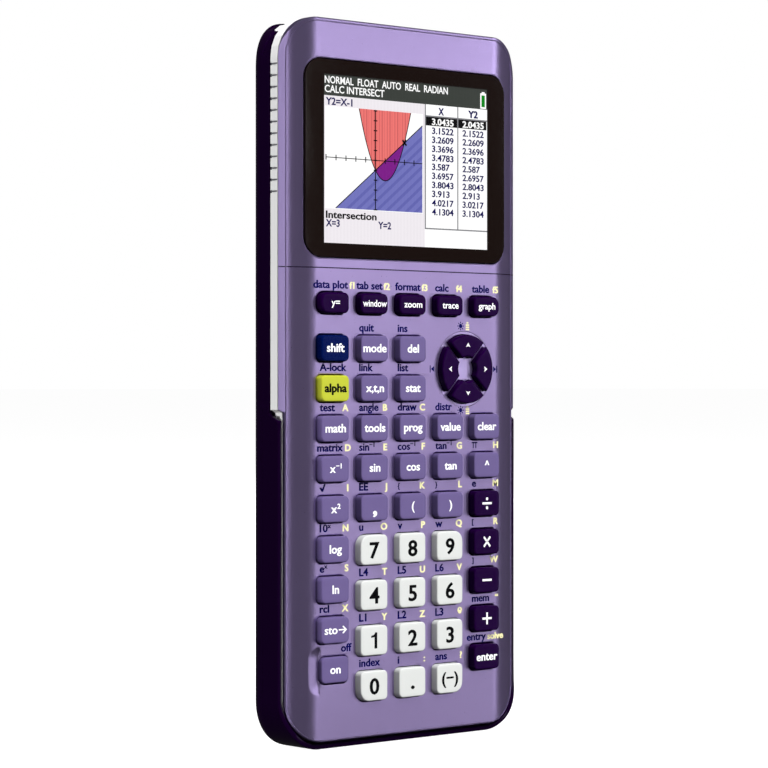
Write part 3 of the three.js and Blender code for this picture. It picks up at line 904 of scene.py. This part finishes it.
GRAPH_ORIGIN = (97.5, 118.0)
GRAPH_UNIT = (18.7, 14.3)
GRAPH_BOX = (4, 45, 189, 190)


def graph_point(x, y):
    return GRAPH_ORIGIN[0] + x * GRAPH_UNIT[0], GRAPH_ORIGIN[1] - y * GRAPH_UNIT[1]


def parabola(x):
    return (x - 1) ** 2 - 2


def line(x):
    return x - 1


def draw_graph(screen):
    """A shaded parabola y = (x - 1)^2 - 2, a shaded line y = x - 1, and where both shades meet."""
    left, top, right, bottom = GRAPH_BOX
    screen.box(3, 45, 190, 191, "white", 2)
    y_top = (GRAPH_ORIGIN[1] - top) / GRAPH_UNIT[1]
    y_bottom = (GRAPH_ORIGIN[1] - bottom) / GRAPH_UNIT[1]
    reach = math.sqrt(y_top + 2)
    arc = [(x, parabola(x)) for x in steps_between(1 - reach, 1 + reach, 41)]
    screen.area([graph_point(x, y) for x, y in arc], "red", 3)
    for i in range(19):
        x = 1 - reach + 2 * reach * (i + 0.7) / 20
        column, low_row = graph_point(x, parabola(x))
        width = 0.5 + 0.8 * ((i * 7) % 3)
        screen.box(column, top, column + width, low_row, "red_stripe", 4)
    x_right = (right - GRAPH_ORIGIN[0]) / GRAPH_UNIT[0]
    start = y_bottom + 1
    screen.area([graph_point(start, y_bottom), graph_point(x_right, line(x_right)), (right, bottom)], "blue", 5)
    for i in range(9):
        shift = 1.0 * (i + 1)
        low = start + shift
        strip = [(low, y_bottom), (x_right, y_bottom + x_right - low),
                 (x_right, y_bottom + x_right - low - 0.4), (low + 0.4, y_bottom)]
        if low + 0.4 < x_right:
            screen.area([graph_point(x, y) for x, y in strip], "blue_stripe", 6)
    bowl = [(x, parabola(x)) for x in steps_between(0, 3, 31)]
    screen.area([graph_point(x, y) for x, y in bowl], "purple", 7)
    screen.stroke([graph_point(x, y) for x, y in arc], 1.5, "black", 7.5)
    screen.stroke([graph_point(start, y_bottom), graph_point(x_right, line(x_right))], 1.5, "black", 7.5)
    draw_axes(screen)


def draw_axes(screen):
    left, top, right, bottom = GRAPH_BOX
    column, row = GRAPH_ORIGIN
    screen.box(left, row - 0.6, right, row + 0.6, "black", 8)
    screen.box(column - 0.9, top, column + 0.9, bottom, "black", 8)
    for i in range(-5, 5):
        x = column + i * GRAPH_UNIT[0]
        screen.box(x - 0.9, row - 4, x + 0.9, row + 4, "black", 9)
    for i in range(-5, 6):
        y = row - i * GRAPH_UNIT[1]
        screen.box(column - 3.5, y - 0.8, column + 3.5, y + 0.8, "black", 9)
    x, y = graph_point(3, 2)
    for turn in (0.25, 0.75):
        across = Vector((5.5 * math.cos(turn * math.pi), 5.5 * math.sin(turn * math.pi)))
        side = Vector((-across.y, across.x)) * 0.28
        points = [across + side, across - side, -across - side, -across + side]
        screen.area([(x + p.x, y + p.y) for p in points], "black", 10)


TABLE_COLUMNS = (208, 269.5)
TABLE_STEP = 13.27


def draw_table(screen):
    """Two columns of values, x and x - 1, with the first row picked out."""
    screen.box(194, 30, 320, 240, "white", 2)
    for column in (194, 259):
        screen.box(column, 30, column + 2.2, 213, "rule", 4)
    for row in (46, 211.5):
        screen.box(194, row, 320, row + 2, "rule", 4)
    screen.box(196.2, 48, 259, 61, "black", 3)
    screen.box(261.2, 48, 318.5, 61, "black", 3)
    screen.text("X", 221, 33.5, 11, "ink", 5, bold=0.05)
    screen.text("Y2", 281, 33.5, 20, "ink", 5, bold=0.05)
    for i in range(11):
        x = (140 + 5 * i) / 46
        for column, value in zip(TABLE_COLUMNS, (x, x - 1)):
            body = f"{value:.4f}".rstrip("0").rstrip(".")
            width = 4 + 7.9 * (len(body) - 1)
            screen.text(body, column, 49.8 + TABLE_STEP * i, width, "white" if i == 0 else "ink", 5, 9.6)


def display_picture():
    screen = Screen()
    screen.box(0, 0, 320, 240, "grey", 0)
    screen.box(0, 0, 320, 30, "bar", 1)
    screen.text("NORMAL  FLOAT  AUTO  REAL  RADIAN", 2, 2, 238, "white", 2, bold=0.015)
    screen.text("CALC INTERSECT", 2, 15, 113, "white", 2, bold=0.015)
    screen.box(306, 6, 318, 29, "white", 2)
    screen.box(309, 4, 315, 6, "white", 2)
    screen.box(308.5, 9, 315.5, 26.5, "green", 3)
    draw_graph(screen)
    draw_table(screen)
    screen.text("Y2=X-1", 4, 32.5, 50, "ink", 3)
    screen.text("Intersection", 4, 194, 96, "black", 3)
    screen.text("X=3", 4, 206, 26, "ink", 3)
    screen.text("Y=2", 103, 206, 25, "ink", 3)
    materials = [lit("screen_" + name, srgb(*rgb)) for name, rgb in SCREEN_COLOURS.items()]
    make_piece("display_picture", screen.bm, materials, "housing")


# ---- slide case ---------------------------------------------------------
CASE_WALL = 1.5
CASE_CORNER = 12.6
CASE_FILLET = {"side": 7.75, "bottom": 4.0, "top": 1.0}
LOW_WALL = FRONT + 6.6
TALL_WALL = FRONT + 3.0
END_WALL = FRONT + 1.2
TALL_TOP = 85.4
EXIT_HALF = 36.8


def case_path():
    """Points round the case's outline with their inward directions and back fillet radii."""
    half = CASE_HIGH.x
    r = CASE_CORNER
    top = CASE_HIGH.z
    path = []

    def corner(x, z, start, begin, end):
        lip = math.acos((EXIT_HALF + 0.1 - (half - r)) / r) / (0.5 * math.pi)
        shares = [lip - 0.006, lip + 0.006] if start >= 0 else []
        if start > 0.4 * math.pi:
            shares = [1 - share for share in shares]
        for share in sorted(steps_between(0, 1, 21) + shares):
            turn = start + 0.5 * math.pi * share
            out = Vector((math.cos(turn), math.sin(turn)))
            fillet = begin + (end - begin) * smooth_step(share, 0, 1)
            path.append((x + r * out.x, z + r * out.y, -out.x, -out.y, fillet))

    side, low, high = CASE_FILLET["side"], CASE_FILLET["bottom"], CASE_FILLET["top"]
    levels = steps_between(20, 80, 5) + steps_between(82, 92, 41) + steps_between(100, 165, 5)
    corner(half - r, r, -0.5 * math.pi, low, side)
    path += [(half, z, -1, 0, side) for z in levels]
    corner(half - r, top - r, 0.0, side, high)
    corner(r - half, top - r, 0.5 * math.pi, high, side)
    path += [(-half, z, 1, 0, side) for z in reversed(levels)]
    corner(r - half, r, math.pi, side, low)
    return path


def wall_front(x, z):
    """Depth of the wall's front edge: tall beside the lower half, low above, none at the top end."""
    if z > CASE_HIGH.z - CASE_CORNER and abs(x) < EXIT_HALF + 0.1:
        return CASE_HIGH.y - CASE_WALL - 0.1
    if z > 40:
        return TALL_WALL + (LOW_WALL - TALL_WALL) * smooth_step(z, TALL_TOP - 1.6, TALL_TOP + 0.9)
    return END_WALL + (TALL_WALL - END_WALL) * smooth_step(z, 2, 14)


def case_ring(x, z, nx, nz, fillet):
    """Section of the shell at one point of the outline, as (inset, depth) from outside to inside."""
    back = CASE_HIGH.y
    front = wall_front(x, z)
    recess = 0.4 * smooth_step(z, TALL_TOP + 2.2, TALL_TOP + 3.4)
    ledge = FRONT + 10.1
    inner = max(fillet - CASE_WALL, 0.2)
    section = [(0.45, front), (0.12, front + 0.12), (0.0, front + 0.45), (0.0, ledge - 0.25), (0.0, ledge)]
    for i in range(13):
        turn = 0.5 * math.pi * i / 12
        section.append((fillet * (1 - math.cos(turn)), back - fillet + fillet * math.sin(turn)))
    outer_count = len(section)
    for i in range(12, -1, -1):
        turn = 0.5 * math.pi * i / 12
        depth = back - CASE_WALL - inner * (1 - math.sin(turn))
        section.append((CASE_WALL + inner * (1 - math.cos(turn)), depth))
    section += [(CASE_WALL, front + 0.3), (CASE_WALL - 0.3, front)]
    points = []
    for i, (inset, depth) in enumerate(section):
        if depth < front:
            depth = front
        if i < outer_count:
            if depth > back - fillet:
                rise = depth - (back - fillet)
                inset = max(inset, fillet - math.sqrt(max(0.0, fillet * fillet - rise * rise)))
            elif depth < ledge - 0.1 and front < ledge - 1:
                inset += recess
        points.append((x + nx * inset, depth, z + nz * inset))
    return points, outer_count


def slide_case():
    bm = bmesh.new()
    rings = []
    for place in case_path():
        points, outer_count = case_ring(*place)
        rings.append([bm.verts.new(point) for point in points])
    count = len(rings[0])
    for here, there in zip(rings, rings[1:] + rings[:1]):
        for i in range(count):
            j = (i + 1) % count
            if i == outer_count - 1:
                continue
            bm.faces.new((here[i], there[i], there[j], here[j]))
    bm.faces.new([ring[outer_count - 1] for ring in rings])
    bm.faces.new([ring[outer_count] for ring in reversed(rings)])
    bmesh.ops.remove_doubles(bm, verts=bm.verts, dist=1e-4)
    bmesh.ops.recalc_face_normals(bm, faces=bm.faces)
    make_piece("slide_case_shell", bm, [CASE_GLOSS], "case", ["slide_case"], 30, True)


def case_rails():
    """Rails inside the tall walls, which run in the grooves of the calculator's sides."""
    bm = bmesh.new()
    for side in (-1, 1):
        x0, x1 = sorted((side * (NARROW_HALF - 0.75), side * (CASE_HIGH.x - CASE_WALL + 0.1)))
        rail = flat_plate([rounded_points(x0, x1, 15.2, 79.8, 0.2, 2)], FRONT + 4.75, 0.7, 0.12, 1)
        append(bm, rail)
    make_piece("case_rails", bm, [CASE_GLOSS], "case")


# ---- studio -------------------------------------------------------------
def aim(thing, target):
    direction = Vector(target) - thing.location
    thing.rotation_euler = direction.to_track_quat("-Z", "Y").to_euler()


def soft_light(name, place, target, width, height, power, glossy=True):
    data = bpy.data.lights.new(name, "AREA")
    data.shape = "RECTANGLE"
    data.size = width
    data.size_y = height
    data.energy = power
    light = bpy.data.objects.new(name, data)
    light.location = place
    light.visible_camera = False
    light.visible_glossy = glossy
    bpy.context.scene.collection.objects.link(light)
    aim(light, target)


# Lights: name, azimuth and elevation in degrees (azimuth 0 is straight in front), distance, width
# and height in metres, and power in watts; False where glossy surfaces don't mirror the light.
LIGHTS = [
    ("left_high", 34, 10.0, 1.5, 0.17, 0.2, 0.56),
    ("right_high", 50, 10.0, 1.5, 0.17, 0.2, 0.8),
    ("left_low", 34, 0.8, 1.5, 0.17, 0.2, 0.34),
    ("right_low", 50, 0.8, 1.5, 0.17, 0.2, 0.24),
    ("left_under", 34, -9.5, 1.5, 0.17, 0.2, 0.3),
    ("right_under", 50, -9.5, 1.5, 0.17, 0.2, 0.3),
    ("fill", 5, 45, 2.0, 1.4, 0.9, 76, False),
    ("strip", -22, 6, 1.2, 0.06, 0.8, 1.0),
    ("side", -108, 8, 1.4, 0.6, 0.8, 16, False),
    ("rear", 160, 35, 2.0, 1.0, 1.0, 40, False),
    ("back_panel", 135, -6, 1.5, 0.25, 0.8, 1.5),
    ("low_left", -47, -27, 1.5, 0.5, 0.3, 1.6),
]


def studio():
    """Pale floor, white surroundings, and soft lights that leave the sloped sides dark."""
    bm = bmesh.new()
    bmesh.ops.create_grid(bm, x_segments=2, y_segments=2, size=40)
    mesh = bpy.data.meshes.new("floor")
    bm.to_mesh(mesh)
    bm.free()
    floor = bpy.data.objects.new("floor", mesh)
    floor.location.z = -0.0002
    paper = plastic("pale_floor", (0.3, 0.3, 0.3), 0.9, mottle=0.01)
    paper.node_tree.nodes["Principled BSDF"].inputs["Emission Color"].default_value = (1, 1, 1, 1)
    paper.node_tree.nodes["Principled BSDF"].inputs["Emission Strength"].default_value = 0.97
    mesh.materials.append(paper)
    floor.visible_diffuse = False
    floor.visible_glossy = False
    floor.visible_shadow = False
    bpy.context.scene.collection.objects.link(floor)
    world = bpy.data.worlds.new("white")
    bpy.context.scene.world = world
    world.use_nodes = True
    nodes = world.node_tree.nodes
    links = world.node_tree.links
    path = nodes.new("ShaderNodeLightPath")
    mix = nodes.new("ShaderNodeMixRGB")
    mix.inputs["Color1"].default_value = (0.03, 0.03, 0.03, 1)
    mix.inputs["Color2"].default_value = (1.0, 1.0, 1.0, 1)
    links.new(path.outputs["Is Camera Ray"], mix.inputs["Fac"])
    links.new(mix.outputs["Color"], nodes["Background"].inputs["Color"])
    bpy.context.scene.view_settings.view_transform = "Standard"
    for light in LIGHTS:
        around_light(*light)


def around_light(name, azimuth, elevation, distance, width, height, power, glossy=True):
    """Soft light on a sphere round the middle of the object; azimuth 0 is straight in front."""
    turn = math.radians(azimuth)
    rise = math.radians(elevation)
    middle = Vector((0, 0, 0.1))
    out = Vector((math.sin(turn) * math.cos(rise), -math.cos(turn) * math.cos(rise), math.sin(rise)))
    soft_light(name, middle + out * distance, middle, width, height, power, glossy)


def camera():
    """Level view from the front left, level with the middle of the object."""
    data = bpy.data.cameras.new("camera")
    data.sensor_width = 36.0
    data.lens = 126.03
    view = bpy.data.objects.new("camera", data)
    view.location = (-0.4715, (FRONT - 526.3) * MM, 0.0936)
    view.rotation_euler = (math.radians(90), 0, -math.radians(41.34))
    bpy.context.scene.collection.objects.link(view)
    bpy.context.scene.camera = view


camera()
dress_frame()
front_cover()
arrow_well()
edge_lines()
grip_lines()
screw_heads()
for key_name in KEYS:
    make_key(key_name)
for key_name, key_angle in ARROWS.items():
    make_arrow_key(key_name, key_angle)
printed_labels()
display_lens()
display_picture()
slide_case()
case_rails()
studio()
